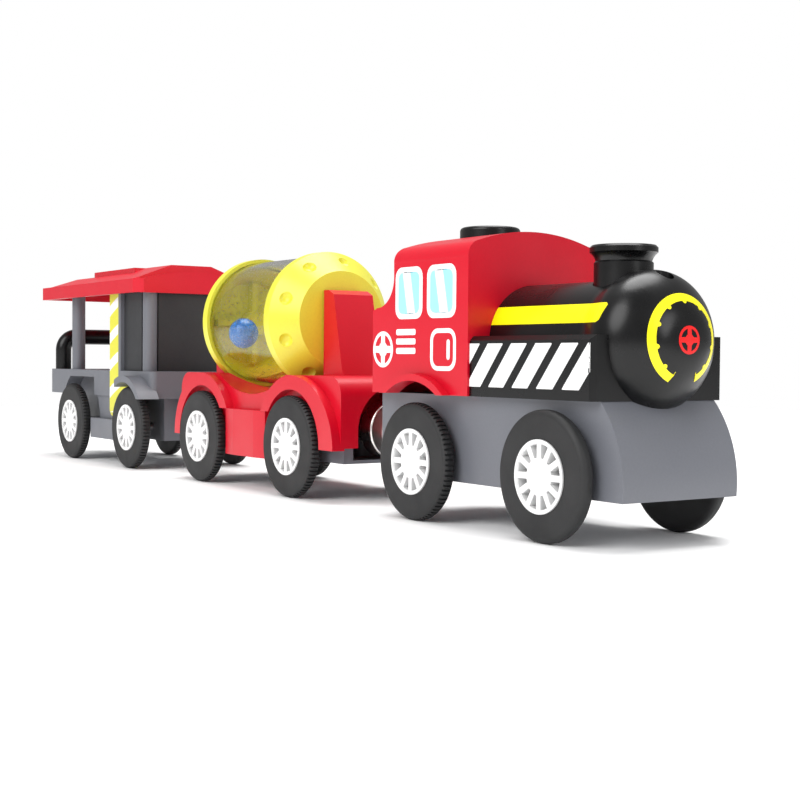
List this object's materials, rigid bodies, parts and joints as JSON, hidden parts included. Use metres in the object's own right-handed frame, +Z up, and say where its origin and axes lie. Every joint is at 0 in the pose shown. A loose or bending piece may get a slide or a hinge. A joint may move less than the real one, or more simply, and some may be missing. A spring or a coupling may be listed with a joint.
{
  "type": "toy train set",
  "caption": "Battery toy train: steam-style locomotive, wagon with a turning clear drum and ball, and roofed wagon, joined by swivelling magnets.",
  "frame": {"origin": "on the ground below the middle of the coupled train", "axes": "+X forward to the locomotive's nose, +Y to the train's left, +Z up"},
  "size_m": [0.2862, 0.0388, 0.0601],
  "materials": {
    "steel": "ground",
    "white_plastic": "satin",
    "black_rubber": "matt",
    "nickel_plate": "bright plating",
    "black_plastic": "satin gloss",
    "grey_plastic": "satin",
    "red_plastic": "satin",
    "yellow_plastic": "satin",
    "clear_plastic": "polished",
    "blue_plastic": "gloss",
    "dark_plastic": "matt",
    "gear_nylon": "matt",
    "plated_steel": "plated",
    "brass": "sprung",
    "board_laminate": "varnished"
  },
  "bodies": {
    "locomotive": {"loco_chassis": "grey_plastic", "gearbox_cover": "grey_plastic", "gearbox_screws": "steel", "boiler": "black_plastic", "lamp_lens": "clear_plastic", "cab": "red_plastic", "battery": "plated_steel", "battery_contacts": "brass", "battery_tray": "black_plastic", "circuit_board": "board_laminate", "tact_switch": "black_plastic", "motor": "plated_steel"},
    "motor_rotor": {"motor_shaft": "steel", "worm": "gear_nylon"},
    "chimney": {"chimney_button": "black_plastic"},
    "roof_knob": {"roof_button": "black_plastic"},
    "loco_front_wheels": {"loco_front_axle": "steel", "loco_front_hubs": "white_plastic", "loco_front_tyres": "black_rubber"},
    "loco_drive_wheels": {"loco_drive_axle": "steel", "loco_drive_hubs": "white_plastic", "loco_drive_tyres": "black_rubber", "drive_gear": "gear_nylon"},
    "loco_coupler": {"loco_magnet": "nickel_plate", "loco_magnet_holder": "black_plastic"},
    "drum_front_coupler": {"drum_wagon_front_magnet": "nickel_plate", "drum_wagon_front_magnet_holder": "black_plastic"},
    "drum_wagon": {"drum_wagon_body": "red_plastic", "drum_wagon_underframe": "grey_plastic", "drum_wagon_screws": "steel", "drum_pins": "steel"},
    "drum": {"drum_front_cap": "yellow_plastic", "drum_rear_cap": "yellow_plastic", "drum_window": "clear_plastic"},
    "ball": {"drum_ball": "blue_plastic"},
    "drum_front_wheels": {"drum_wagon_front_axle": "steel", "drum_wagon_front_hubs": "white_plastic", "drum_wagon_front_tyres": "black_rubber"},
    "drum_rear_wheels": {"drum_wagon_rear_axle": "steel", "drum_wagon_rear_hubs": "white_plastic", "drum_wagon_rear_tyres": "black_rubber"},
    "drum_rear_coupler": {"drum_wagon_rear_magnet": "nickel_plate", "drum_wagon_rear_magnet_holder": "black_plastic"},
    "cabin_front_coupler": {"cabin_wagon_front_magnet": "nickel_plate", "cabin_wagon_front_magnet_holder": "black_plastic"},
    "cabin_wagon": {"cabin_wagon_deck": "grey_plastic", "cabin_wagon_floor": "grey_plastic", "handrail": "black_plastic", "hazard_panels": "yellow_plastic", "roof_posts": "grey_plastic", "cabin_walls": "dark_plastic", "cabin_roof": "red_plastic"},
    "cabin_front_wheels": {"cabin_wagon_front_axle": "steel", "cabin_wagon_front_hubs": "white_plastic", "cabin_wagon_front_tyres": "black_rubber"},
    "cabin_rear_wheels": {"cabin_wagon_rear_axle": "steel", "cabin_wagon_rear_hubs": "white_plastic", "cabin_wagon_rear_tyres": "black_rubber"},
    "tail_coupler": {"cabin_wagon_rear_magnet": "nickel_plate", "cabin_wagon_rear_magnet_holder": "black_plastic"}
  },
  "joints": [
    {"name": "loco_front_axle_spin", "type": "hinge", "parent": "locomotive", "child": "loco_front_wheels", "pos_m": [0.1245, 0, 0.012], "axis": [0, 1, 0], "continuous": true},
    {"name": "drive_axle_spin", "type": "hinge", "parent": "locomotive", "child": "loco_drive_wheels", "pos_m": [0.0838, 0, 0.012], "axis": [0, 1, 0], "continuous": true},
    {"name": "motor_spin", "type": "hinge", "parent": "locomotive", "child": "motor_rotor", "pos_m": [0.0838, 0, 0.0165], "axis": [1, 0, 0], "continuous": true},
    {"name": "chimney_press", "type": "slide", "parent": "locomotive", "child": "chimney", "axis": [0, 0, -1], "range_m": [0, 0.0015], "stiffness_N_per_m": 150, "springref_m": -0.0005},
    {"name": "roof_button_press", "type": "slide", "parent": "locomotive", "child": "roof_knob", "axis": [0, 0, -1], "range_m": [0, 0.0015], "stiffness_N_per_m": 150, "springref_m": -0.0005},
    {"name": "loco_coupler_swivel", "type": "hinge", "parent": "locomotive", "child": "loco_coupler", "pos_m": [0.0715, 0, 0.0164], "axis": [0, 0, 1], "range_deg": [-12, 12]},
    {"name": "drum_wagon_uncouple", "type": "slide", "parent": "loco_coupler", "child": "drum_front_coupler", "axis": [-1, 0, 0], "range_m": [0, 0.03]},
    {"name": "drum_wagon_front_swivel", "type": "hinge", "parent": "drum_front_coupler", "child": "drum_wagon", "pos_m": [0.03675, 0, 0.0164], "axis": [0, 0, 1], "range_deg": [-12, 12]},
    {"name": "drum_front_axle_spin", "type": "hinge", "parent": "drum_wagon", "child": "drum_front_wheels", "pos_m": [0.0317, 0, 0.012], "axis": [0, 1, 0], "continuous": true},
    {"name": "drum_rear_axle_spin", "type": "hinge", "parent": "drum_wagon", "child": "drum_rear_wheels", "pos_m": [-0.0163, 0, 0.012], "axis": [0, 1, 0], "continuous": true},
    {"name": "drum_spin", "type": "hinge", "parent": "drum_wagon", "child": "drum", "pos_m": [0.0027, 0, 0.0421], "axis": [1, 0, 0], "continuous": true},
    {"name": "ball_roll", "type": "hinge", "parent": "drum_wagon", "child": "ball", "pos_m": [-0.004, 0, 0.0421], "axis": [1, 0, 0], "continuous": true},
    {"name": "drum_wagon_rear_swivel", "type": "hinge", "parent": "drum_wagon", "child": "drum_rear_coupler", "pos_m": [-0.03, 0, 0.0164], "axis": [0, 0, 1], "range_deg": [-12, 12]},
    {"name": "cabin_wagon_uncouple", "type": "slide", "parent": "drum_rear_coupler", "child": "cabin_front_coupler", "axis": [-1, 0, 0], "range_m": [0, 0.03]},
    {"name": "cabin_wagon_front_swivel", "type": "hinge", "parent": "cabin_front_coupler", "child": "cabin_wagon", "pos_m": [-0.05805, 0, 0.0164], "axis": [0, 0, 1], "range_deg": [-12, 12]},
    {"name": "cabin_front_axle_spin", "type": "hinge", "parent": "cabin_wagon", "child": "cabin_front_wheels", "pos_m": [-0.0647, 0, 0.012], "axis": [0, 1, 0], "continuous": true},
    {"name": "cabin_rear_axle_spin", "type": "hinge", "parent": "cabin_wagon", "child": "cabin_rear_wheels", "pos_m": [-0.1115, 0, 0.012], "axis": [0, 1, 0], "continuous": true},
    {"name": "tail_coupler_swivel", "type": "hinge", "parent": "cabin_wagon", "child": "tail_coupler", "pos_m": [-0.1291, 0, 0.0164], "axis": [0, 0, 1], "range_deg": [-12, 12]}
  ],
  "couplings": [
    {"joint": "motor_spin", "follows": "drive_axle_spin", "ratio": -15}
  ]
}
